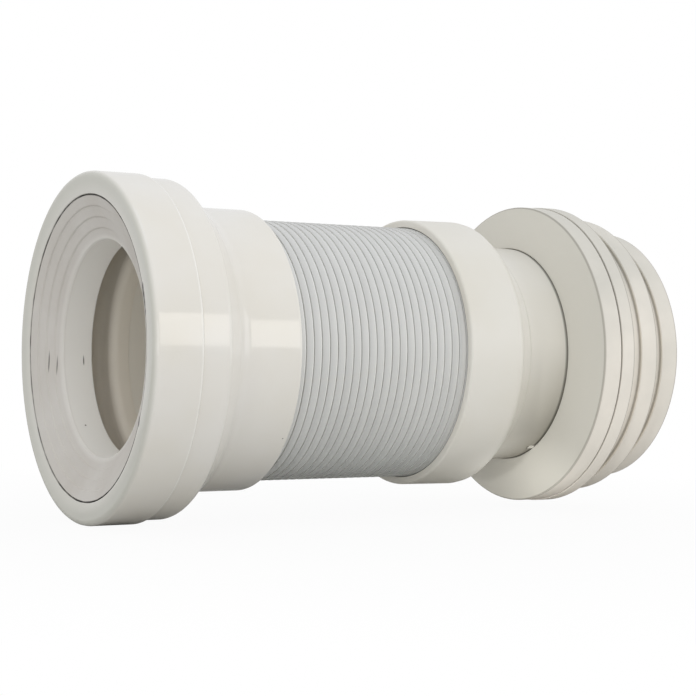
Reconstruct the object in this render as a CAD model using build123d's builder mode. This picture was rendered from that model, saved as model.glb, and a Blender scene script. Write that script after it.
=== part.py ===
# Flexible toilet pan connector: a sealed inlet socket, a concertina hose and a finned outlet spigot.
# The waterway runs along X from the centre of the inlet mouth, at the origin, to the outlet. Millimetres.
import os

from build123d import *

os.makedirs("parts", exist_ok=True)

# Push-on cap that holds the pan seal in the mouth
mouth_radius = 54.0
cap_lip = 2.5
cap_length = 18.4
cap_wall = 5.2
cap_gap = 0.2
cap_edge = 1.2

# Pan seal: a clamped rim, a terraced membrane and a gripping sleeve
seal_rim = 4.0
terrace_count = 4
membrane_depth = 6.3
membrane_wall = 2.0
riser_run = 0.9
sleeve_radius = 38.8
sleeve_wall = 2.2
sleeve_length = 11.2

# Inlet socket
socket_wall = 3.6
ring_step = 1.3
ring_length = 10.5
shoulder_run = 9.4
shoulder_inset = 3.6
hose_stop = 4.0
collar_length = 23.3
collar_wall = 3.1
collar_edge = 1.5

# Concertina hose, pushed closed
hose_radius = 48.8
hose_wall = 6.6
hose_gap = 0.3
rib_count = 22
rib_pitch = 3.23
rib_step = 1.2

# Outlet spigot
outlet_collar_length = 25.7
outlet_collar_wall = 3.1
outlet_end_wall = 5.0
outlet_edge = 4.0
spigot_radius = 42.7
spigot_wall = 3.0
spigot_length = 74.1

# Finned outlet seal: stop flange, then three sealing fins that get smaller towards the end
seal_seat_gap = 0.1
fin_seal_length = 48.6
face_dish = 4.7
flange_radius = 59.9
flange_width = 7.9
flange_groove = 1.2
fin_radii = (60.2, 56.1, 50.9)
fin_width = 7.8
fin_pitch = 14.75
root_walls = (11.8, 6.6)

# Stations along the waterway
socket_front = cap_lip + seal_rim
ring_front = cap_length
ring_rear = ring_front + ring_length
collar_front = ring_rear + shoulder_run
collar_rear = collar_front + collar_length
shoulder = ring_rear + shoulder_inset
hose_front = shoulder + hose_stop
outlet_front = collar_rear + rib_count * rib_pitch
outlet_rear = outlet_front + outlet_collar_length
hose_rear = outlet_rear - outlet_end_wall - hose_gap
spigot_end = outlet_rear + spigot_length

# Radii that follow from the sizes above
socket_front_radius = mouth_radius + socket_wall
cap_inner_radius = socket_front_radius + cap_gap
cap_radius = cap_inner_radius + cap_wall
ring_radius = cap_radius - ring_step
hose_bore = hose_radius - hose_wall
hose_seat_radius = hose_radius + hose_gap
collar_radius = hose_seat_radius + collar_wall
outlet_collar_radius = hose_seat_radius + outlet_collar_wall


with BuildPart() as seal_cap:
    with BuildSketch(Plane.XZ):
        with BuildLine():
            Polyline(
                (0, mouth_radius),
                (0, cap_radius),
                (cap_length, cap_radius),
                (cap_length, cap_inner_radius),
                (cap_lip, cap_inner_radius),
                (cap_lip, mouth_radius),
                close=True,
            )
        make_face()
    revolve(axis=Axis.X)
    front_edges = seal_cap.edges().filter_by(GeomType.CIRCLE).group_by(Axis.X)[0]
    chamfer(front_edges.sort_by(SortBy.RADIUS)[-1], cap_edge)

seal_cap.part.label = "seal_cap"
export_step(seal_cap.part, "parts/seal_cap.step")


# Each terrace is a flat ring that ends in a sloping riser towards the next, deeper one
sleeve_front = cap_lip + membrane_depth
sleeve_rear = sleeve_front + sleeve_length
sleeve_outer_radius = sleeve_radius + sleeve_wall
terrace_width = (mouth_radius - sleeve_radius) / terrace_count
terrace_drop = membrane_depth / terrace_count
terraces = []
for step in range(terrace_count):
    terrace_x = cap_lip + step * terrace_drop
    inner_radius = mouth_radius - (step + 1) * terrace_width
    terraces.append((terrace_x, inner_radius + riser_run))
    terraces.append((terrace_x + terrace_drop, inner_radius))

with BuildPart() as pan_seal:
    with BuildSketch(Plane.XZ):
        with BuildLine():
            Polyline(
                (socket_front, mouth_radius),
                (socket_front, socket_front_radius),
                (cap_lip, socket_front_radius),
                *terraces,
                (sleeve_rear, sleeve_radius),
                (sleeve_rear, sleeve_outer_radius),
                (sleeve_front + membrane_wall, sleeve_outer_radius),
                close=True,
            )
        make_face()
    revolve(axis=Axis.X)

pan_seal.part.label = "pan_seal"
export_step(pan_seal.part, "parts/pan_seal.step")


# The cap slides on to the front of the socket, whose ring slopes down to the collar.
# The hose is pushed into the collar from behind, against its stop.
with BuildPart() as inlet_socket:
    with BuildSketch(Plane.XZ):
        with BuildLine():
            Polyline(
                (socket_front, mouth_radius),
                (socket_front, socket_front_radius),
                (ring_front, socket_front_radius),
                (ring_front, ring_radius),
                (ring_rear, ring_radius),
                (collar_front, collar_radius),
                (collar_rear, collar_radius),
                (collar_rear, hose_seat_radius),
                (hose_front, hose_seat_radius),
                (hose_front, hose_bore),
                (shoulder, hose_bore),
                (shoulder, mouth_radius),
                close=True,
            )
        make_face()
    revolve(axis=Axis.X)
    round_edges = inlet_socket.edges().filter_by(GeomType.CIRCLE)
    chamfer(round_edges.group_by(Axis.X)[-1].sort_by(SortBy.RADIUS)[-1], collar_edge)

inlet_socket.part.label = "inlet_socket"
export_step(inlet_socket.part, "parts/inlet_socket.step")


# Pushed closed, each fold lies under the next like a shingle: a raised edge and a band that slopes down from it
folds = []
for rib in range(rib_count):
    fold_end = collar_rear + (rib + 1) * rib_pitch
    folds.append((fold_end, hose_radius - rib_step))
    folds.append((fold_end, hose_radius))

with BuildPart() as bellows_hose:
    with BuildSketch(Plane.XZ):
        with BuildLine():
            Polyline(
                (hose_front, hose_bore),
                (hose_front, hose_radius),
                (collar_rear, hose_radius),
                *folds,
                (hose_rear, hose_radius),
                (hose_rear, hose_bore),
                close=True,
            )
        make_face()
    revolve(axis=Axis.X)

bellows_hose.part.label = "bellows_hose"
export_step(bellows_hose.part, "parts/bellows_hose.step")


with BuildPart() as outlet_spigot:
    with BuildSketch(Plane.XZ):
        with BuildLine():
            Polyline(
                (outlet_front, hose_seat_radius),
                (outlet_front, outlet_collar_radius),
                (outlet_rear, outlet_collar_radius),
                (outlet_rear, spigot_radius),
                (spigot_end, spigot_radius),
                (spigot_end, spigot_radius - spigot_wall),
                (outlet_rear - outlet_end_wall, spigot_radius - spigot_wall),
                (outlet_rear - outlet_end_wall, hose_seat_radius),
                close=True,
            )
        make_face()
    revolve(axis=Axis.X)
    round_edges = outlet_spigot.edges().filter_by(GeomType.CIRCLE)
    chamfer(round_edges.group_by(Axis.X)[0].sort_by(SortBy.RADIUS)[-1], collar_edge)
    chamfer(round_edges.filter_by_position(Axis.X, outlet_rear, outlet_rear).sort_by(SortBy.RADIUS)[-1], outlet_edge)

outlet_spigot.part.label = "outlet_spigot"
export_step(outlet_spigot.part, "parts/outlet_spigot.step")


# The first fin rises from a groove behind the flange, the others from the sleeve between the fins
fin_seal_front = spigot_end - fin_seal_length
fin_bore = spigot_radius + seal_seat_gap
flange_front = fin_seal_front + face_dish
flange_rear = flange_front + flange_width
fin_ends = [spigot_end - step * fin_pitch for step in (2, 1, 0)]
fins = [
    (flange_rear - flange_groove, flange_radius),
    (flange_rear, flange_radius - flange_groove),
    (flange_rear + flange_groove, fin_radii[0]),
    (fin_ends[0], fin_radii[0]),
]
for previous_end, fin_end, radius, wall in zip(fin_ends, fin_ends[1:], fin_radii[1:], root_walls):
    fins.append((previous_end, fin_bore + wall))
    fins.append((fin_end - fin_width, fin_bore + wall))
    fins.append((fin_end - fin_width, radius))
    fins.append((fin_end, radius))

with BuildPart() as outlet_fin_seal:
    with BuildSketch(Plane.XZ):
        with BuildLine():
            Polyline(
                (fin_seal_front, fin_bore),
                (flange_front, flange_radius),
                *fins,
                (spigot_end, fin_bore),
                close=True,
            )
        make_face()
    revolve(axis=Axis.X)

outlet_fin_seal.part.label = "outlet_fin_seal"
export_step(outlet_fin_seal.part, "parts/outlet_fin_seal.step")
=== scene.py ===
import math

import bmesh
import bpy
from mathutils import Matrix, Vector
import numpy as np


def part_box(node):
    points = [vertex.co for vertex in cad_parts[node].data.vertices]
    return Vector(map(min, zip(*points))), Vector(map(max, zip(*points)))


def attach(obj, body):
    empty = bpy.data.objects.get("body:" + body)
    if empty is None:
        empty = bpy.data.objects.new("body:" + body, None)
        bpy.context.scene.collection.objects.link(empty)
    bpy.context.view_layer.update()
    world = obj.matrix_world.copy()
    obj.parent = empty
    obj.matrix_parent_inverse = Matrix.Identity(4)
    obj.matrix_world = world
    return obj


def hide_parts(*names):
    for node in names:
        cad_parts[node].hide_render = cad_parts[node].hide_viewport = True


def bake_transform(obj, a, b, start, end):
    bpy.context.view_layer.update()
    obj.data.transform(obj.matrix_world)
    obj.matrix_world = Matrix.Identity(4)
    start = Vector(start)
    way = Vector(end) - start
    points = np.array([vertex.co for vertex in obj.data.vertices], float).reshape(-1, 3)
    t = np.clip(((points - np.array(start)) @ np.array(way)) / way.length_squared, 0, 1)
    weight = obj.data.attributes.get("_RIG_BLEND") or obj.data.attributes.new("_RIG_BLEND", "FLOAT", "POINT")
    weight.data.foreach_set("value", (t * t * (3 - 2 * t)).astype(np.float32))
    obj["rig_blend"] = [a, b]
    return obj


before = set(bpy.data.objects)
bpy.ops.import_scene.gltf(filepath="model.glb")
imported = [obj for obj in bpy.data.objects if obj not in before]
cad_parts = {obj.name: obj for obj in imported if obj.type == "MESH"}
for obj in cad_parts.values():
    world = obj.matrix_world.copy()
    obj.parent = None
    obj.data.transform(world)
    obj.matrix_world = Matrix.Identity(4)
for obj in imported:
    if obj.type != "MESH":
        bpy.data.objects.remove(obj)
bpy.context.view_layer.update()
mm = 0.001  # the scene is in metres, and the sizes of the pieces are given in mm
fullTurn = 2 * math.pi
weldDistance = 0.001 * mm
cornerReach = 0.01  # a vertex this near to a corner, in mm, is that corner
floorSpan = (0.3, 0.7)  # where the floor of a groove starts and ends, as shares of its width


# start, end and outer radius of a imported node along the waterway, in mm
def spanOf(node):
    low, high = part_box(node)
    return low.x / mm, high.x / mm, high.z / mm


capFront, capRear, capRadius = spanOf("seal_cap")
sealRear, sealRadius = spanOf("pan_seal")[1:]
socketFront, socketRear, ringRadius = spanOf("inlet_socket")
hoseFront, hoseRear, hoseRadius = spanOf("bellows_hose")
outletFront, outletEnd = spanOf("outlet_spigot")[:2]
finSealFront, finSealEnd = spanOf("outlet_fin_seal")[:2]


def linearColour(hexText):
    channels = [int(hexText[i:i + 2], 16) / 255 for i in (1, 3, 5)]
    return [c / 12.92 if c <= 0.04045 else ((c + 0.055) / 1.055) ** 2.4 for c in channels] + [1.0]


# links a node or a socket to an input, makes a hex colour linear, and sets any other value as it is
def setInputs(tree, node, inputs):
    for socket, value in inputs.items():
        if isinstance(value, bpy.types.Node):
            value = next(output for output in value.outputs if output.enabled)
        if isinstance(value, bpy.types.NodeSocket):
            tree.links.new(value, node.inputs[socket])
        elif isinstance(value, str):
            node.inputs[socket].default_value = linearColour(value)
        else:
            node.inputs[socket].default_value = value


def addNode(tree, kind, inputs=None, **settings):
    node = tree.nodes.new(kind)
    for name, value in settings.items():
        setattr(node, name, value)
    setInputs(tree, node, inputs or {})
    return node


def newMaterial(name):
    material = bpy.data.materials.new(name)
    material.use_nodes = True
    tree = material.node_tree
    return material, tree, tree.nodes["Principled BSDF"]


# picks vertices of the piece in edit mode by their place
def pickVertices(piece, wanted):
    bpy.ops.mesh.select_all(action="DESELECT")
    mesh = bmesh.from_edit_mesh(piece.data)
    for vertex in mesh.verts:
        vertex.select = wanted(vertex.co.x / mm, vertex.co.z / mm)
    mesh.select_flush(True)
    bmesh.update_edit_mesh(piece.data)


# one wall section, drawn as a chain of (x, radius, rounding) corners in mm,
# then rounded at those corners and spun about the waterway
def turnPiece(name, corners, segments=4, steps=192, smoothAngle=32):
    bpy.ops.object.select_all(action="DESELECT")
    bpy.ops.mesh.primitive_plane_add(size=mm)
    piece = bpy.context.object
    piece.name = name
    piece.data.name = name
    bpy.ops.object.mode_set(mode="EDIT")
    bpy.ops.mesh.select_mode(type="VERT")
    bpy.ops.mesh.merge(type="CENTER")
    bpy.ops.transform.translate(value=(corners[0][0] * mm, 0, corners[0][1] * mm))
    for here, after in zip(corners, corners[1:] + corners[:1]):
        step = ((after[0] - here[0]) * mm, 0, (after[1] - here[1]) * mm)
        bpy.ops.mesh.extrude_region_move(TRANSFORM_OT_translate={"value": step})
    bpy.ops.mesh.select_all(action="SELECT")
    bpy.ops.mesh.remove_doubles(threshold=weldDistance)
    for rounding in sorted({corner[2] for corner in corners if corner[2]}):
        spots = [corner[:2] for corner in corners if corner[2] == rounding]
        pickVertices(piece, lambda x, r: any(math.hypot(x - s[0], r - s[1]) < cornerReach for s in spots))
        bpy.ops.mesh.bevel(offset=rounding * mm, segments=segments, affect="VERTICES")
    bpy.ops.mesh.select_all(action="SELECT")
    bpy.ops.mesh.spin(steps=steps, angle=fullTurn, center=(0, 0, 0), axis=(1, 0, 0))
    bpy.ops.mesh.select_all(action="SELECT")
    bpy.ops.mesh.remove_doubles(threshold=weldDistance)
    bpy.ops.mesh.normals_make_consistent(inside=False)
    bpy.ops.object.mode_set(mode="OBJECT")
    bpy.ops.object.shade_smooth_by_angle(angle=math.radians(smoothAngle))
    # the broad faces set the shading, so that roundings don't bend the reflections beside them
    bpy.ops.object.modifier_add(type="WEIGHTED_NORMAL")
    piece.modifiers[-1].weight = 100
    piece.modifiers[-1].keep_sharp = True
    bpy.ops.object.modifier_apply(modifier=piece.modifiers[-1].name)
    print(name, len(piece.data.polygons), "faces")
    return piece


# Seal cap: front face that dips a little to the mouth, softened outer edge, crisp rear edge
capShape = {
    "mouthRadius": 54.8, "mouthDip": 1.1, "mouthEdge": 0.35, "frontEdge": 2.2, "lip": 2.5, "wall": 5.2,
    "rearEdge": 0.9,
}


def makeCap(s):
    lipRear = capFront + s["lip"]
    innerRadius = capRadius - s["wall"]
    return turnPiece("sealCap", [
        (capFront + s["mouthDip"], s["mouthRadius"], s["mouthEdge"]),
        (capFront, capRadius, s["frontEdge"]),
        (capRear, capRadius, s["rearEdge"]),
        (capRear, innerRadius, 0),
        (lipRear, innerRadius, 0),
        (lipRear, s["mouthRadius"], 0),
    ])


# Pan seal: rim under the cap lip, terraces stepping down to the sleeve that grips the pan outlet
sealShape = {
    "rimFront": 2.6, "rimRear": 6.4, "rimGap": 0.1, "faceRadius": 54.4, "faceFront": 1.3, "terraces": 4,
    "bandFall": 1.25, "riserRun": 0.35, "ridge": 0.15, "sleeveFront": 8.8, "sleeveRadius": 38.8,
    "sleeveSteps": (11.9, 15.4), "stepRise": 0.1, "stepRun": 0.25, "lipWall": 1.0, "sleeveWall": 2.2,
    "membraneWall": 2.0, "lipEdge": 0.3,
}


def makePanSeal(s):
    rimRadius = sealRadius - s["rimGap"]
    corners = [
        (s["rimRear"], rimRadius, 0),
        (s["rimFront"], rimRadius, 0),
        (s["rimFront"], s["faceRadius"], 0),
        (s["faceFront"], s["faceRadius"], s["ridge"]),
    ]
    sleeveTop = s["sleeveRadius"] + len(s["sleeveSteps"]) * s["stepRise"]
    width = (s["faceRadius"] - sleeveTop) / s["terraces"]
    drop = (s["sleeveFront"] - s["faceFront"]) / s["terraces"]
    for terrace in range(s["terraces"]):
        x = s["faceFront"] + terrace * drop + s["bandFall"]
        radius = s["faceRadius"] - (terrace + 1) * width
        corners.append((x, radius + s["riserRun"], s["ridge"]))
        corners.append((x + drop - s["bandFall"], radius, s["ridge"]))
    for index, x in enumerate(s["sleeveSteps"]):
        radius = sleeveTop - index * s["stepRise"]
        corners.append((x, radius, 0))
        corners.append((x + s["stepRun"], radius - s["stepRise"], 0))
    sleeveOuter = s["sleeveRadius"] + s["sleeveWall"]
    backFront = s["sleeveFront"] + s["membraneWall"]
    corners += [
        (sealRear, s["sleeveRadius"], s["lipEdge"]),
        (sealRear, s["sleeveRadius"] + s["lipWall"], s["lipEdge"]),
        ((sealRear + backFront) / 2, sleeveOuter, 0),
        (backFront, sleeveOuter, 0),
        (s["rimRear"], s["faceRadius"] - s["membraneWall"], 0),
    ]
    return turnPiece("panSeal", corners, segments=3)


# Inlet socket: hidden mouth under the cap, ring that slopes down to the collar, and the seat for the hose end
socketShape = {
    "boreRadius": 54.0, "mouthRadius": 57.6, "ringFront": 18.52, "ringEdge": 0.4, "ringRear": 28.9,
    "ringRound": 0.9, "collarFront": 38.3, "collarRadius": 52.2, "collarFoot": 3.0, "collarEdge": 1.5,
    "seatRadius": 49.1, "seatEdge": 0.2, "seatFront": 36.5, "throatRadius": 42.2, "throatFront": 29.0,
    "throatEdge": 3.6, "boreRound": 7.0,
}


def makeSocket(s):
    return turnPiece("inletSocket", [
        (socketFront, s["boreRadius"], 0),
        (socketFront, s["mouthRadius"], 0),
        (s["ringFront"], s["mouthRadius"], 0),
        (s["ringFront"], ringRadius, s["ringEdge"]),
        (s["ringRear"], ringRadius, s["ringRound"]),
        (s["collarFront"], s["collarRadius"], s["collarFoot"]),
        (socketRear, s["collarRadius"], s["collarEdge"]),
        (socketRear, s["seatRadius"], s["seatEdge"]),
        (s["seatFront"], s["seatRadius"], 0),
        (s["seatFront"], s["throatRadius"], 0),
        (s["throatFront"], s["throatRadius"], s["throatEdge"]),
        (s["throatFront"], s["boreRadius"], s["boreRound"]),
    ])


# Concertina hose, pushed closed: thin folds lie against each other like shingles,
# with plain cuffs in both collars
hoseShape = {
    "folds": 22, "groove": 0.19, "bandFall": 0.22, "depth": 4.4, "wall": 1.1, "crest": 0.1, "bandRound": 0.5,
    "pocket": 0.5, "innerRound": 0.28, "boreRadius": 42.4, "cuffGap": 0.1,
}


def makeHose(s):
    pitch = (outletFront - socketRear) / s["folds"]
    groove = s["groove"]
    pocket = s["pocket"]
    leg = (pitch - groove - pocket) / 2
    valley = hoseRadius - s["depth"]
    cuffFront = hoseFront + s["cuffGap"]
    cuffRear = hoseRear - s["cuffGap"]
    corners = [(cuffFront, s["boreRadius"], 0), (cuffFront, hoseRadius, 0)]
    for fold in range(s["folds"]):
        start = socketRear + fold * pitch
        end = start + pitch - groove
        corners.append((start, hoseRadius, s["crest"]))
        corners.append((end, hoseRadius - s["bandFall"], s["bandRound"]))
        corners.append((end + floorSpan[0] * groove, valley, 0))
        corners.append((end + floorSpan[1] * groove, valley, 0))
    corners.append((outletFront, hoseRadius, s["crest"]))
    corners += [(cuffRear, hoseRadius, 0), (cuffRear, s["boreRadius"], 0)]
    pocketTop = hoseRadius - s["bandFall"] - s["wall"]
    for fold in reversed(range(s["folds"])):
        pocketFront = socketRear + fold * pitch + leg
        corners.append((pocketFront + pocket, s["boreRadius"], s["innerRound"]))
        corners.append((pocketFront + floorSpan[1] * pocket, pocketTop, 0))
        corners.append((pocketFront + floorSpan[0] * pocket, pocketTop, 0))
        corners.append((pocketFront, s["boreRadius"], s["innerRound"]))
    return turnPiece("bellowsHose", corners, segments=3, smoothAngle=50)


# the folds open at their grooves: each band keeps its width and the legs beside it swing out
def openAtGrooves(hose, s):
    pitch = (outletFront - socketRear) / s["folds"]
    for vertex, share in zip(hose.data.vertices, hose.data.attributes["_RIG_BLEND"].data):
        radius = math.hypot(vertex.co.y, vertex.co.z) / mm
        depth = min(max((hoseRadius - s["wall"] - radius) / (s["depth"] - s["wall"]), 0), 1)
        along = (vertex.co.x / mm - socketRear + s["groove"] / 2) / pitch
        groove = round(along)
        side = math.copysign(1, along - groove)
        place = groove - 0.5 + 0.5 * side * (1 - depth)
        share.value = min(max(place / s["folds"], 0), 1)


# Outlet: collar over the hose end, then the plain spigot that carries the finned seal
outletShape = {
    "seatRadius": 49.1, "seatEdge": 0.2, "lipRadius": 51.9, "lipEdge": 0.9, "collarRadius": 52.2,
    "collarRear": 158.36, "collarRound": 4.4, "spigotRadius": 42.7, "footRise": 0.8, "footRun": 7.3,
    "footEdge": 0.35, "spigotEdge": 0.6, "boreRadius": 39.7, "endWall": 5.0,
}


def makeOutlet(s):
    wallFront = s["collarRear"] - s["endWall"]
    footEnd = s["collarRear"] + s["footRun"]
    footRadius = s["spigotRadius"] + s["footRise"]
    return turnPiece("outletSpigot", [
        (outletFront, s["seatRadius"], s["seatEdge"]),
        (outletFront, s["lipRadius"], s["lipEdge"]),
        (s["collarRear"], s["collarRadius"], s["collarRound"]),
        (s["collarRear"], footRadius, s["footRise"]),
        (footEnd, footRadius, s["footEdge"]),
        (footEnd + s["footRise"], s["spigotRadius"], s["footEdge"]),
        (outletEnd, s["spigotRadius"], s["spigotEdge"]),
        (outletEnd, s["boreRadius"], s["spigotEdge"]),
        (wallFront, s["boreRadius"], s["spigotEdge"]),
        (wallFront, s["seatRadius"], 0),
    ])


# Finned seal: dished face, stop flange, then three soft fins that get smaller towards the end
finShape = {
    "boreRadius": 42.8, "faceDish": 4.7, "faceEdge": 0.5, "faceRadius": 59.9, "flangeRear": 196.46,
    "grooveDepth": 1.2, "grooveWidth": 0.6, "finEnds": (202.96, 217.71, 232.46), "finWidth": 7.8,
    "finRadii": (60.2, 56.1, 50.9), "finEdge": 0.4, "rootRadii": (54.6, 49.4), "rootFillet": 0.2,
    "boreEdge": 0.45, "endEdge": 0.3,
}


def makeFinSeal(s):
    flangeFront = finSealFront + s["faceDish"]
    grooveFloor = s["faceRadius"] - s["grooveDepth"]
    grooveRound = s["grooveWidth"] / 3
    corners = [
        (finSealFront, s["boreRadius"], s["boreEdge"]),
        (flangeFront, s["faceRadius"], s["faceEdge"]),
        (s["flangeRear"], s["faceRadius"], grooveRound),
        (s["flangeRear"] + floorSpan[0] * s["grooveWidth"], grooveFloor, 0),
        (s["flangeRear"] + floorSpan[1] * s["grooveWidth"], grooveFloor, 0),
        (s["flangeRear"] + s["grooveWidth"], s["finRadii"][0], grooveRound),
        (s["finEnds"][0], s["finRadii"][0], s["finEdge"]),
    ]
    for before, end, radius, root in zip(s["finEnds"], s["finEnds"][1:], s["finRadii"][1:], s["rootRadii"]):
        corners.append((before, root, s["rootFillet"]))
        corners.append((end - s["finWidth"], root, s["rootFillet"]))
        corners.append((end - s["finWidth"], radius, s["finEdge"]))
        corners.append((end, radius, s["finEdge"]))
    corners.append((finSealEnd, s["boreRadius"], s["endEdge"]))
    return turnPiece("outletFinSeal", corners)


# Chip of moulding flash left on the spigot where the seal meets it: a thin tongue, bent at its free end
chipShape = {
    "station": 182.2, "turn": 59.8, "sunk": 0.25, "length": 3.4, "width": 1.5, "thick": 0.7, "edge": 0.12,
    "tipFrom": 0.4, "tipTaper": (1, 0.45, 0.5), "tipShift": 0.2, "lift": 0.5, "smoothAngle": 40,
}


def makeFlashChip(s):
    bpy.ops.object.select_all(action="DESELECT")
    bpy.ops.mesh.primitive_cube_add(size=mm)
    chip = bpy.context.object
    chip.name = "flashChip"
    chip.data.name = "flashChip"
    bpy.ops.object.mode_set(mode="EDIT")
    bpy.ops.transform.resize(value=(s["length"], s["width"], s["thick"]))
    bpy.ops.mesh.subdivide(number_cuts=2)
    pickVertices(chip, lambda x, z: x < -s["tipFrom"] * s["length"])
    bpy.ops.transform.resize(value=s["tipTaper"], center_override=(-0.5 * s["length"] * mm, 0, 0))
    bpy.ops.transform.translate(value=(0, s["tipShift"] * mm, -s["lift"] * mm))
    bpy.ops.mesh.select_all(action="SELECT")
    bpy.ops.mesh.bevel(offset=s["edge"] * mm, segments=2)
    bpy.ops.object.mode_set(mode="OBJECT")
    bpy.ops.object.shade_smooth_by_angle(angle=math.radians(s["smoothAngle"]))
    across = math.radians(s["turn"])
    reach = outletShape["spigotRadius"] - s["sunk"] + s["thick"] / 2
    chip.location = (s["station"] * mm, -reach * math.cos(across) * mm, -reach * math.sin(across) * mm)
    chip.rotation_euler = (across - math.pi / 2, 0, 0)
    bpy.ops.object.transform_apply(location=True, rotation=True, scale=True)
    return chip


cap = makeCap(capShape)
panSeal = makePanSeal(sealShape)
socket = makeSocket(socketShape)
hose = makeHose(hoseShape)
outlet = makeOutlet(outletShape)
finSeal = makeFinSeal(finShape)
chip = makeFlashChip(chipShape)

for piece, node, slotName, body in (
    (cap, "seal_cap", "gloss_white", "inlet"),
    (panSeal, "pan_seal", "grey_rubber", "inlet"),
    (socket, "inlet_socket", "gloss_white", "inlet"),
    (outlet, "outlet_spigot", "satin_white", "outlet"),
    (finSeal, "outlet_fin_seal", "beige_rubber", "outlet"),
):
    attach(piece, body)
    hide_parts(node)
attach(chip, "outlet")
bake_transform(hose, "inlet", "outlet", start=(socketRear * mm, 0, 0), end=(outletFront * mm, 0, 0))
openAtGrooves(hose, hoseShape)
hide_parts("bellows_hose")
print("pieces on their bodies")

# the middle part of a noise's values, which is spread over all that the noise drives
cloudSpan = (0.35, 0.65)
grainSpan = (0.3, 0.7)
speckCore = 0.5  # share of a speck's radius that is darkest
speckShare = 0.9  # how much of the colour under it a speck covers
lineCore = 0.4  # share of an edge line's width that is strongest


# scale of a pattern from the size of its spots in mm
def scaleOf(size):
    return 1 / (size * mm)


# Object coordinates in a new tree, the station along the waterway and the distance from its axis
def addPlace(tree):
    place = addNode(tree, "ShaderNodeTexCoord").outputs["Object"]
    across = addNode(tree, "ShaderNodeVectorMath", {0: place, 1: (0, 1, 1)}, operation="MULTIPLY")
    radius = addNode(tree, "ShaderNodeVectorMath", {0: across}, operation="LENGTH")
    station = addNode(tree, "ShaderNodeSeparateXYZ", {0: place}).outputs["X"]
    return place, station, radius


# two tones in soft clouds of a size in mm
def addClouds(tree, place, size, first, second):
    cloud = addNode(tree, "ShaderNodeTexNoise", {"Vector": place, "Scale": scaleOf(size), "Detail": 3.0})
    low, high = cloudSpan
    tone = addNode(tree, "ShaderNodeMapRange", {"Value": cloud, "From Min": low, "From Max": high})
    return addNode(tree, "ShaderNodeMix", {0: tone, 6: first, 7: second}, data_type="RGBA")


# fine grain of a size in mm, and the roughness that goes with it
def addGrain(tree, place, size, detail, roughness):
    grain = addNode(tree, "ShaderNodeTexNoise", {"Vector": place, "Scale": scaleOf(size), "Detail": detail})
    rough = addNode(tree, "ShaderNodeMapRange", {
        "Value": grain, "From Min": grainSpan[0], "From Max": grainSpan[1],
        "To Min": roughness[0], "To Max": roughness[1],
    })
    return grain, rough


# dark specks: a spot of its own radius round each point, in mm, and how many times taller than wide it is
def addSpecks(tree, place, colour, specks, dark):
    for x, y, z, radius, tall in specks:
        spot = (x * mm, y * mm, z * mm)
        away = addNode(tree, "ShaderNodeVectorMath", {0: place, 1: spot}, operation="SUBTRACT")
        away = addNode(tree, "ShaderNodeVectorMath", {0: away, 1: (1, 1, 1 / tall)}, operation="MULTIPLY")
        away = addNode(tree, "ShaderNodeVectorMath", {0: away}, operation="LENGTH")
        share = addNode(tree, "ShaderNodeMapRange", {
            "Value": away, "From Min": speckCore * radius * mm, "From Max": radius * mm,
            "To Min": speckShare, "To Max": 0.0,
        })
        colour = addNode(tree, "ShaderNodeMix", {0: share, 6: colour, 7: dark}, data_type="RGBA")
    return colour


# thin lines of a colour along round edges and joints, each given by its (station, radius) in mm: pale ones
# are painted highlights, dark ones are dark lines and painted shade in hollows and at joints
def addEdgeLines(tree, station, radius, colour, edges, line):
    section = addNode(tree, "ShaderNodeCombineXYZ", {"X": station, "Y": radius})
    for x, r in edges:
        edge = (x * mm, r * mm, 0)
        away = addNode(tree, "ShaderNodeVectorMath", {0: section, 1: edge}, operation="DISTANCE")
        share = addNode(tree, "ShaderNodeMapRange", {
            "Value": away, "From Min": lineCore * line["width"] * mm, "From Max": line["width"] * mm,
            "To Min": line["share"], "To Max": 0.0,
        })
        colour = addNode(tree, "ShaderNodeMix", {0: share, 6: colour, 7: line["colour"]}, data_type="RGBA")
    return colour


# Grime caught here and there in the gap between the cap and the pan seal, together with painted shade in that
# gap, which both of them show
gapShadeAndGrimeSet = {"colour": "#2c2a27", "bits": 9, "bitSpan": (0.42, 0.62), "share": (0.45, 1.0)}


def addGapShadeAndGrime(tree, place, gap, colour, gritAndGapShade, s):
    bits = addNode(tree, "ShaderNodeTexNoise", {"Vector": place, "Scale": scaleOf(s["bits"]), "Detail": 3.0})
    caught = addNode(tree, "ShaderNodeMapRange", {
        "Value": bits, "From Min": s["bitSpan"][0], "From Max": s["bitSpan"][1],
        "To Min": s["share"][0], "To Max": s["share"][1],
    })
    # painted shade and grime along the gap, broken into bits
    shadeAndGrime = addNode(tree, "ShaderNodeMath", {0: gap, 1: caught}, operation="MULTIPLY")
    colour = addNode(tree, "ShaderNodeMix", {0: shadeAndGrime, 6: colour, 7: s["colour"]}, data_type="RGBA")
    return addSpecks(tree, place, colour, gritAndGapShade, s["colour"])


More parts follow.
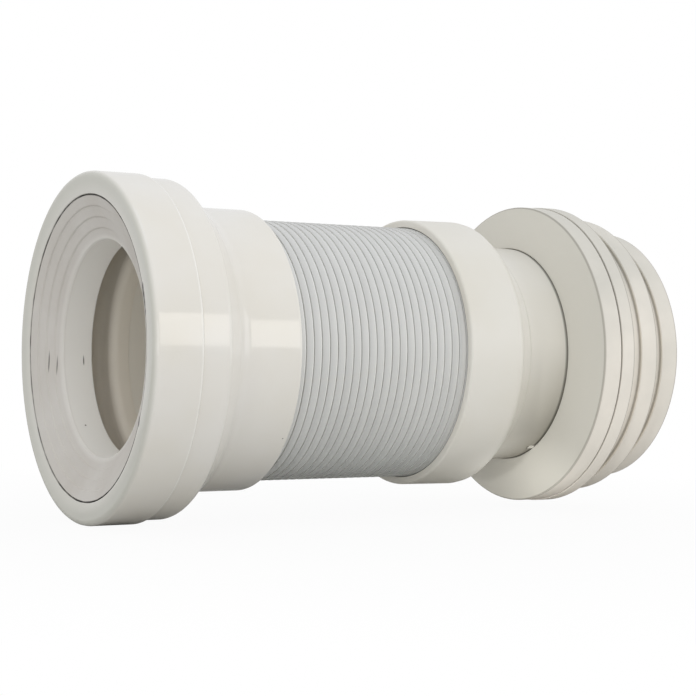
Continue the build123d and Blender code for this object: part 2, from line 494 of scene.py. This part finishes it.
# Polypropylene, injection moulded in a polished tool: warm white and glossy,
# with long cooling waves in the reflection
glossSet = {
    "white": "#e9e6e0", "cream": "#e6e2d9", "cloud": 34, "face": "#d3d2c9", "faceSpan": (0.5, 1.6),
    "inside": "#efe8db", "insideFrom": 7, "insideRadius": 54.5, "insideSlope": 1.375, "insideReach": 100.2,
    "insideRoughness": 0.55, "roughness": (0.07, 0.12), "haze": 6, "hazeAlong": 0.25, "hazeSpan": (0.35, 0.7),
    "wave": 13, "waveHeight": 0.02, "ior": 1.49,
    "specks": ((59.1, -42.1, -30.9, 0.32, 1),), "dark": "#55524c",
    "edge": {"width": 1.1, "share": 0.9, "colour": "#f7f5f0"}, "gapRadius": (54.75, 55.0), "gapDepth": 3.0,
    "gritAndGapShade": (
        (1.0, -51.0, 19.6, 1.5, 2), (1.0, -52.0, 17.1, 1.3, 2), (1.0, -52.8, 14.6, 1.1, 2),
        (1.0, -53.5, 12.0, 0.8, 2), (1.0, -49.2, -24.0, 1.1, 2),
    ),
}


def makeGlossPolypropylene(s):
    material, tree, shader = newMaterial("glossPolypropylene")
    place, station, radius = addPlace(tree)
    colour = addClouds(tree, place, s["cloud"], s["white"], s["cream"])
    colour = addSpecks(tree, place, colour, s["specks"], s["dark"])
    # pale lines on the cap's rear edge and the collar's rear edge: painted highlights
    edges = [(capRear, capRadius), (socketRear, socketShape["collarRadius"])]
    colour = addEdgeLines(tree, station, radius, colour, edges, s["edge"])
    # the face round the mouth is greyer and darker: painted shade
    front = addNode(tree, "ShaderNodeMapRange", {
        "Value": station, "From Min": s["faceSpan"][0] * mm, "From Max": s["faceSpan"][1] * mm,
        "To Min": 1.0, "To Max": 0.0,
    })
    colour = addNode(tree, "ShaderNodeMix", {0: front, 6: colour, 7: s["face"]}, data_type="RGBA")
    # the inside is painted lighter and warmer, for the light bounced about in it, and is duller: behind the
    # lip, within the bore, and under a line in the sloping wall
    deep = addNode(tree, "ShaderNodeMath", {0: station, 1: s["insideFrom"] * mm}, operation="GREATER_THAN")
    within = addNode(tree, "ShaderNodeMath", {0: radius, 1: s["insideRadius"] * mm}, operation="LESS_THAN")
    slope = s["insideSlope"]
    slant = addNode(tree, "ShaderNodeMath", {0: station, 1: slope, 2: radius}, operation="MULTIPLY_ADD")
    inside = addNode(tree, "ShaderNodeMath", {0: slant, 1: s["insideReach"] * mm}, operation="LESS_THAN")
    inside = addNode(tree, "ShaderNodeMath", {0: inside, 1: deep}, operation="MULTIPLY")
    inside = addNode(tree, "ShaderNodeMath", {0: inside, 1: within}, operation="MULTIPLY")
    colour = addNode(tree, "ShaderNodeMix", {0: inside, 6: colour, 7: s["inside"]}, data_type="RGBA")
    # painted shade and grime in the gap to the pan seal, near the mouth, with dark specks along it
    gap = addNode(tree, "ShaderNodeMapRange", {
        "Value": radius, "From Min": s["gapRadius"][0] * mm, "From Max": s["gapRadius"][1] * mm,
        "To Min": 1.0, "To Max": 0.0,
    })
    mouth = addNode(tree, "ShaderNodeMath", {0: station, 1: s["gapDepth"] * mm}, operation="LESS_THAN")
    gap = addNode(tree, "ShaderNodeMath", {0: gap, 1: mouth}, operation="MULTIPLY")
    colour = addGapShadeAndGrime(tree, place, gap, colour, s["gritAndGapShade"], gapShadeAndGrimeSet)
    # handling haze, drawn out along the waterway by pushing the cap on
    along = addNode(tree, "ShaderNodeMapping", {"Vector": place, "Scale": (s["hazeAlong"], 1, 1)})
    haze = addNode(tree, "ShaderNodeTexNoise", {"Vector": along, "Scale": scaleOf(s["haze"]), "Detail": 4.0})
    rough = addNode(tree, "ShaderNodeMapRange", {
        "Value": haze, "From Min": s["hazeSpan"][0], "From Max": s["hazeSpan"][1],
        "To Min": s["roughness"][0], "To Max": s["roughness"][1],
    })
    rough = addNode(tree, "ShaderNodeMix", {0: inside, 2: rough, 3: s["insideRoughness"]})
    wave = addNode(tree, "ShaderNodeTexNoise", {"Vector": place, "Scale": scaleOf(s["wave"]), "Detail": 0.0})
    bump = addNode(tree, "ShaderNodeBump", {
        "Height": wave, "Strength": 1.0, "Distance": s["waveHeight"] * mm,
    })
    setInputs(tree, shader, {"Base Color": colour, "Roughness": rough, "Normal": bump, "IOR": s["ior"]})
    return material


# Polypropylene, moulded in a lightly textured tool: satin and a touch greyer,
# with a grain that breaks up the highlights
satinSet = {
    "white": "#e3e0d8", "cream": "#dfdbd0", "cloud": 42, "roughness": (0.34, 0.46), "grain": 0.7,
    "grainHeight": 0.012, "wave": 16, "waveHeight": 0.03, "ior": 1.49,
    "specks": ((155.8, -26.4, -45.05, 0.45, 1),), "dark": "#34322f",
    "paintedShade": "#928d80", "paintedShadeFrom": 163, "paintedShadePast": 0.5, "paintedShadeHeight": (-36, 5), "paintedShadeShare": (0.95, 0.12),
    "joint": {"width": 1.1, "share": 0.7, "colour": "#4f4d44"},
}


def makeSatinPolypropylene(s):
    material, tree, shader = newMaterial("satinPolypropylene")
    place, station, radius = addPlace(tree)
    colour = addClouds(tree, place, s["cloud"], s["white"], s["cream"])
    colour = addSpecks(tree, place, colour, s["specks"], s["dark"])
    # painted shade on the spigot, deepening towards the flange, and more of it underneath
    along = addNode(tree, "ShaderNodeMapRange", {
        "Value": station, "From Min": s["paintedShadeFrom"] * mm, "From Max": finSealFront * mm,
    })
    height = addNode(tree, "ShaderNodeSeparateXYZ", {0: place}).outputs["Z"]
    low = addNode(tree, "ShaderNodeMapRange", {
        "Value": height, "From Min": s["paintedShadeHeight"][0] * mm, "From Max": s["paintedShadeHeight"][1] * mm,
        "To Min": s["paintedShadeShare"][0], "To Max": s["paintedShadeShare"][1],
    })
    paintedShadeEnd = (finSealFront + s["paintedShadePast"]) * mm
    bare = addNode(tree, "ShaderNodeMath", {0: station, 1: paintedShadeEnd}, operation="LESS_THAN")
    paintedShade = addNode(tree, "ShaderNodeMath", {0: along, 1: low}, operation="MULTIPLY")
    paintedShade = addNode(tree, "ShaderNodeMath", {0: paintedShade, 1: bare}, operation="MULTIPLY")
    colour = addNode(tree, "ShaderNodeMix", {0: paintedShade, 6: colour, 7: s["paintedShade"]}, data_type="RGBA")
    # a dark line along the joint with the seal: dirt and painted shade
    joint = [(finSealFront, outletShape["spigotRadius"])]
    colour = addEdgeLines(tree, station, radius, colour, joint, s["joint"])
    # tool grain, drawn about twice as coarse as the real one so that it shows
    grain, rough = addGrain(tree, place, s["grain"], 2.0, s["roughness"])
    wave = addNode(tree, "ShaderNodeTexNoise", {"Vector": place, "Scale": scaleOf(s["wave"]), "Detail": 0.0})
    waves = addNode(tree, "ShaderNodeBump", {
        "Height": wave, "Strength": 1.0, "Distance": s["waveHeight"] * mm,
    })
    bump = addNode(tree, "ShaderNodeBump", {
        "Height": grain, "Strength": 1.0, "Distance": s["grainHeight"] * mm, "Normal": waves,
    })
    setInputs(tree, shader, {"Base Color": colour, "Roughness": rough, "Normal": bump, "IOR": s["ior"]})
    return material


# Polypropylene, blown thin: cool grey white and satin, each fold a little different, with painted shade in
# the grooves and along each band and a painted highlight on each band's rear edge
hoseSet = {
    "white": "#dadad7", "grey": "#c6c6c4", "fold": 4.0, "foldAcross": 0.08, "foldShare": 0.3,
    "fallShare": 0.85, "crest": "#fbfbf8", "paintedHighlightTilt": (0.12, 0.28), "groove": "#b4b4b0",
    "grooveDepth": (0.8, 2.4), "inside": "#f0ebe0", "insideRadius": (44.2, 45.2), "roughness": (0.36, 0.5),
    "drawLine": 0.5, "drawAcross": 0.05, "drawHeight": 0.006, "ior": 1.49,
}


def makeBlownPolypropylene(s):
    material, tree, shader = newMaterial("blownPolypropylene")
    place, _, radius = addPlace(tree)
    # each fold has a tone of its own, and is painted greyer towards its front edge as shade
    foldScale = (1, s["foldAcross"], s["foldAcross"])
    folds = addNode(tree, "ShaderNodeMapping", {"Vector": place, "Scale": foldScale})
    tones = addNode(tree, "ShaderNodeTexNoise", {"Vector": folds, "Scale": scaleOf(s["fold"]), "Detail": 2.0})
    tone = addNode(tree, "ShaderNodeMapRange", {
        "Value": tones, "From Min": grainSpan[0], "From Max": grainSpan[1],
        "To Min": 0.0, "To Max": s["foldShare"],
    })
    fall = addNode(tree, "ShaderNodeMapRange", {
        "Value": radius, "From Min": (hoseRadius - hoseShape["bandFall"]) * mm, "From Max": hoseRadius * mm,
        "To Min": 0.0, "To Max": s["fallShare"],
    })
    tone = addNode(tree, "ShaderNodeMath", {0: tone, 1: fall}, operation="ADD", use_clamp=True)
    colour = addNode(tree, "ShaderNodeMix", {0: tone, 6: s["white"], 7: s["grey"]}, data_type="RGBA")
    # the rear edge of a band, where it faces the rear, is painted paler: a painted highlight
    facing = addNode(tree, "ShaderNodeTexCoord").outputs["Normal"]
    facing = addNode(tree, "ShaderNodeSeparateXYZ", {0: facing}).outputs["X"]
    edge = addNode(tree, "ShaderNodeMapRange", {
        "Value": facing, "From Min": s["paintedHighlightTilt"][0], "From Max": s["paintedHighlightTilt"][1],
    })
    colour = addNode(tree, "ShaderNodeMix", {0: edge, 6: colour, 7: s["crest"]}, data_type="RGBA")
    # painted shade deep in the grooves
    top, bottom = [(hoseRadius - depth) * mm for depth in s["grooveDepth"]]
    paintedShade = addNode(tree, "ShaderNodeMapRange", {
        "Value": radius, "From Min": bottom, "From Max": top, "To Min": 1.0, "To Max": 0.0,
    })
    colour = addNode(tree, "ShaderNodeMix", {0: paintedShade, 6: colour, 7: s["groove"]}, data_type="RGBA")
    # the inside is painted lighter and warmer, for the light bounced about in it
    inside = addNode(tree, "ShaderNodeMapRange", {
        "Value": radius, "From Min": s["insideRadius"][0] * mm, "From Max": s["insideRadius"][1] * mm,
        "To Min": 1.0, "To Max": 0.0,
    })
    colour = addNode(tree, "ShaderNodeMix", {0: inside, 6: colour, 7: s["inside"]}, data_type="RGBA")
    # fine rings left by the mould, drawn about twice as coarse as the real ones so that they show
    ringScale = (1, s["drawAcross"], s["drawAcross"])
    rings = addNode(tree, "ShaderNodeMapping", {"Vector": place, "Scale": ringScale})
    ring, rough = addGrain(tree, rings, s["drawLine"], 2.0, s["roughness"])
    bump = addNode(tree, "ShaderNodeBump", {
        "Height": ring, "Strength": 1.0, "Distance": s["drawHeight"] * mm,
    })
    setInputs(tree, shader, {"Base Color": colour, "Roughness": rough, "Normal": bump, "IOR": s["ior"]})
    return material


# Thermoplastic rubber, moulded: matte and a little powdery, beige, warmer underneath and painted paler there,
# as light on the shaded underside
beigeSet = {
    "beige": "#d3d0c7", "warm": "#f0eae0", "face": "#dbd8ce", "cloud": 26, "lowHeight": (-50, 45),
    "lowShare": (0.8, 0.0), "warmSpan": (0.45, 1.1), "roughness": (0.55, 0.72), "grain": 0.9,
    "grainHeight": 0.02, "flow": 5, "flowHeight": 0.03, "ior": 1.5, "specular": 0.35,
    "edge": {"width": 0.75, "share": 0.6, "colour": "#8a857a"}, "rootShadeRise": 0.3,
}


def makeBeigeRubber(s):
    material, tree, shader = newMaterial("beigeThermoplasticRubber")
    place, station, radius = addPlace(tree)
    # clouds of beige and a paler, warmer tone, with the paler tone pushed underneath: painted light
    cloud = addNode(tree, "ShaderNodeTexNoise", {
        "Vector": place, "Scale": scaleOf(s["cloud"]), "Detail": 3.0,
    })
    height = addNode(tree, "ShaderNodeSeparateXYZ", {0: place}).outputs["Z"]
    low = addNode(tree, "ShaderNodeMapRange", {
        "Value": height, "From Min": s["lowHeight"][0] * mm, "From Max": s["lowHeight"][1] * mm,
        "To Min": s["lowShare"][0], "To Max": s["lowShare"][1],
    })
    tone = addNode(tree, "ShaderNodeMath", {0: low, 1: cloud}, operation="ADD")
    tone = addNode(tree, "ShaderNodeMapRange", {
        "Value": tone, "From Min": s["warmSpan"][0], "From Max": s["warmSpan"][1],
    })
    colour = addNode(tree, "ShaderNodeMix", {0: tone, 6: s["beige"], 7: s["warm"]}, data_type="RGBA")
    flangeFront = finSealFront + finShape["faceDish"]
    face = addNode(tree, "ShaderNodeMath", {0: station, 1: flangeFront * mm}, operation="LESS_THAN")
    colour = addNode(tree, "ShaderNodeMix", {0: face, 6: colour, 7: s["face"]}, data_type="RGBA")
    # dark lines on the rims, and painted shade in the groove behind the flange and at the roots of the fins
    grooveMiddle = finShape["flangeRear"] + finShape["grooveWidth"] / 2
    edges = [
        (flangeFront, finShape["faceRadius"]),
        (finShape["finEnds"][0], finShape["finRadii"][0]),
        (grooveMiddle, finShape["faceRadius"] - finShape["grooveWidth"]),
    ]
    for end, rim, root in zip(finShape["finEnds"][1:], finShape["finRadii"][1:], finShape["rootRadii"]):
        edges += [(end, rim), (end - finShape["finWidth"], root + s["rootShadeRise"])]
    colour = addEdgeLines(tree, station, radius, colour, edges, s["edge"])
    grain, rough = addGrain(tree, place, s["grain"], 3.0, s["roughness"])
    flow = addNode(tree, "ShaderNodeTexNoise", {"Vector": place, "Scale": scaleOf(s["flow"]), "Detail": 1.0})
    flows = addNode(tree, "ShaderNodeBump", {
        "Height": flow, "Strength": 1.0, "Distance": s["flowHeight"] * mm,
    })
    bump = addNode(tree, "ShaderNodeBump", {
        "Height": grain, "Strength": 1.0, "Distance": s["grainHeight"] * mm, "Normal": flows,
    })
    setInputs(tree, shader, {"Base Color": colour, "Roughness": rough, "Normal": bump})
    setInputs(tree, shader, {"IOR": s["ior"], "Specular IOR Level": s["specular"]})
    return material


# Thermoplastic rubber, moulded: matte pale grey, painted paler along the sleeve as light inside the mouth,
# with scuffs on its ridges
greySet = {
    "grey": "#d9d5cf", "shade": "#d1ccc5", "cloud": 22, "sleeve": "#fbf9f4", "sleeveFrom": (7.5, 9.5),
    "roughness": (0.55, 0.72), "grain": 0.9, "grainHeight": 0.015, "ior": 1.5, "specular": 0.35,
    "specks": (
        (12.8, 26.4, -28.7, 0.45, 1), (5.45, 45.4, -5.8, 0.45, 12),
        (7.0, 41.5, -5.7, 0.5, 10), (16.6, 38.5, -5.2, 0.3, 16),
    ),
    "dark": "#5f5a54", "gapRadius": (54.1, 54.35),
    "gritAndGapShade": (
        (1.3, -50.0, 19.4, 1.2, 3), (1.3, -51.0, 17.0, 1.0, 3), (1.3, -51.9, 14.5, 0.9, 3),
        (1.3, -52.6, 12.0, 0.7, 3), (1.3, -48.4, -23.4, 1.0, 2),
    ),
}


def makeGreyRubber(s):
    material, tree, shader = newMaterial("greyThermoplasticRubber")
    place, station, radius = addPlace(tree)
    colour = addClouds(tree, place, s["cloud"], s["grey"], s["shade"])
    # the sleeve is painted paler: painted light inside the mouth
    paintedLightOnSleeve = addNode(tree, "ShaderNodeMapRange", {
        "Value": station, "From Min": s["sleeveFrom"][0] * mm, "From Max": s["sleeveFrom"][1] * mm,
    })
    colour = addNode(tree, "ShaderNodeMix", {0: paintedLightOnSleeve, 6: colour, 7: s["sleeve"]}, data_type="RGBA")
    colour = addSpecks(tree, place, colour, s["specks"], s["dark"])
    # painted shade and grime in the gap under the cap's lip, with dark specks along it
    gap = addNode(tree, "ShaderNodeMapRange", {
        "Value": radius, "From Min": s["gapRadius"][0] * mm, "From Max": s["gapRadius"][1] * mm,
    })
    colour = addGapShadeAndGrime(tree, place, gap, colour, s["gritAndGapShade"], gapShadeAndGrimeSet)
    grain, rough = addGrain(tree, place, s["grain"], 3.0, s["roughness"])
    bump = addNode(tree, "ShaderNodeBump", {
        "Height": grain, "Strength": 1.0, "Distance": s["grainHeight"] * mm,
    })
    setInputs(tree, shader, {"Base Color": colour, "Roughness": rough, "Normal": bump})
    setInputs(tree, shader, {"IOR": s["ior"], "Specular IOR Level": s["specular"]})
    return material


gloss = makeGlossPolypropylene(glossSet)
beige = makeBeigeRubber(beigeSet)
for piece, material in (
    (cap, gloss),
    (socket, gloss),
    (panSeal, makeGreyRubber(greySet)),
    (hose, makeBlownPolypropylene(hoseSet)),
    (outlet, makeSatinPolypropylene(satinSet)),
    (finSeal, beige),
    (chip, beige),
):
    piece.data.materials.append(material)
print("finishes on")


# 1 for what the camera sees, straight or through something clear, and 0 for light between surfaces
def addSeen(tree):
    rays = addNode(tree, "ShaderNodeLightPath").outputs
    kinds = {0: rays["Is Camera Ray"], 1: rays["Is Transmission Ray"]}
    return addNode(tree, "ShaderNodeMath", kinds, operation="MAXIMUM")


# Floor: pale paper that fades to the white of the backdrop away from the part;
# its drop below the cap is in mm, the rest in metres
floorSet = {
    "size": 6.0, "middle": 0.1, "drop": 0.2, "colour": "#c8c8c6", "roughness": 0.9, "fade": (0.1, 0.3),
    "fadeShare": (0.95, 1.0),
}
floorHeight = -(capRadius + floorSet["drop"]) * mm
bpy.ops.object.select_all(action="DESELECT")
bpy.ops.mesh.primitive_plane_add(size=floorSet["size"], location=(floorSet["middle"], 0, floorHeight))
floor = bpy.context.object
floor.name = "floor"
paper, tree, shader = newMaterial("palePaper")
setInputs(tree, shader, {"Base Color": floorSet["colour"], "Roughness": floorSet["roughness"]})
place = addNode(tree, "ShaderNodeTexCoord").outputs["Object"]
away = addNode(tree, "ShaderNodeVectorMath", {0: place}, operation="LENGTH")
fade = addNode(tree, "ShaderNodeMapRange", {
    "Value": away, "From Min": floorSet["fade"][0], "From Max": floorSet["fade"][1],
    "To Min": floorSet["fadeShare"][0], "To Max": floorSet["fadeShare"][1],
})
share = addNode(tree, "ShaderNodeMath", {0: addSeen(tree), 1: fade}, operation="MULTIPLY")
white = addNode(tree, "ShaderNodeEmission", {"Color": "#ffffff", "Strength": 1.0})
mixed = addNode(tree, "ShaderNodeMixShader", {0: share, 1: shader, 2: white})
setInputs(tree, tree.nodes["Material Output"], {"Surface": mixed})
floor.data.materials.append(paper)

# World: white to the camera, plain soft light to everything else
worldSet = {"light": 0.83}
world = bpy.data.worlds.new("studio")
bpy.context.scene.world = world
world.use_nodes = True
tree = world.node_tree
level = addNode(tree, "ShaderNodeMapRange", {
    "Value": addSeen(tree), "To Min": worldSet["light"], "To Max": 1.0,
})
setInputs(tree, tree.nodes["Background"], {"Color": "#ffffff", "Strength": level})
print("floor and world set")


# a lamp that shines back along the direction in which it stands
def addLamp(kind, name, place, towards, energy):
    turn = towards.to_track_quat("Z", "Y").to_euler()
    bpy.ops.object.light_add(type=kind, location=place, rotation=turn)
    light = bpy.context.object
    light.name = name
    light.data.energy = energy
    return light


# Lamps, in metres: the light is mostly the world's, as in a white tent,
# with soft boxes and a window that the gloss shows
lampSet = {
    "besideCamera": {
        "from": (-0.35, -0.93, 0.1), "away": 1.2, "size": (0.7, 0.4), "energy": 1.4, "tint": "#ffffff",
    },
    "leftStrip": {
        "from": (-0.8, -0.6, 0.0), "away": 1.2, "size": (0.9, 0.11), "energy": 0.25, "tint": "#ffffff",
    },
    "rightSide": {
        "from": (1.0, -0.62, 0.12), "away": 1.2, "size": (0.6, 0.7), "energy": 1.5, "tint": "#ffffff",
    },
    "top": {
        "from": (0.0, -0.2, 1.0), "away": 1.2, "size": (0.7, 0.7), "energy": 1.2, "tint": "#c0daff",
    },
    "window": {
        "from": (0.45, -1.05, 0.24), "away": 1.15, "size": (0.27, 0.38), "energy": 0.85, "tint": "#fffaf0",
    },
}
middle = Vector((0.11, 0, 0))  # about half way along the part
for name, lamp in lampSet.items():
    towards = Vector(lamp["from"]).normalized()
    light = addLamp("AREA", name, middle + towards * lamp["away"], towards, lamp["energy"])
    light.data.shape = "RECTANGLE"
    light.data.size, light.data.size_y = lamp["size"]
    light.data.color = linearColour(lamp["tint"])[:3]

# Fill for the outlet's underside, which the floor shades
fillSet = {
    "place": (-0.65, -0.5, -0.03), "aim": (0.215, -0.02, -0.05), "spread": 8, "soft": 0.03, "energy": 7,
}
towards = Vector(fillSet["place"]) - Vector(fillSet["aim"])
fill = addLamp("SPOT", "underFill", fillSet["place"], towards, fillSet["energy"])
fill.data.spot_size = math.radians(fillSet["spread"])
fill.data.spot_blend = 1.0
fill.data.shadow_soft_size = fillSet["soft"]

# Small lit card beside the outlet collar, low down, for the flange's lower face
cardSet = {
    "place": (0.145, -0.085, -0.058), "aim": (0.187, 0.005, -0.05), "size": (0.03, 0.01), "spread": 40,
    "energy": 0.0021,
}
towards = Vector(cardSet["place"]) - Vector(cardSet["aim"])
card = addLamp("AREA", "flangeCard", cardSet["place"], towards, cardSet["energy"])
card.data.shape = "RECTANGLE"
card.data.size, card.data.size_y = cardSet["size"]
card.data.spread = math.radians(cardSet["spread"])
card.visible_camera = False
card.visible_glossy = False

# Camera: level with the waterway, at the photograph's angle
cameraSet = {
    "place": (-0.22887, -0.57355, 0.0), "turn": (90.117, -0.718, -30.589), "lens": 88.942, "sensor": 36,
}
bpy.ops.object.camera_add(location=cameraSet["place"], rotation=[math.radians(a) for a in cameraSet["turn"]])
camera = bpy.context.object
camera.data.lens = cameraSet["lens"]
camera.data.sensor_width = cameraSet["sensor"]
bpy.context.scene.camera = camera
bpy.context.scene.view_settings.view_transform = "Standard"
print("lamps and camera set")
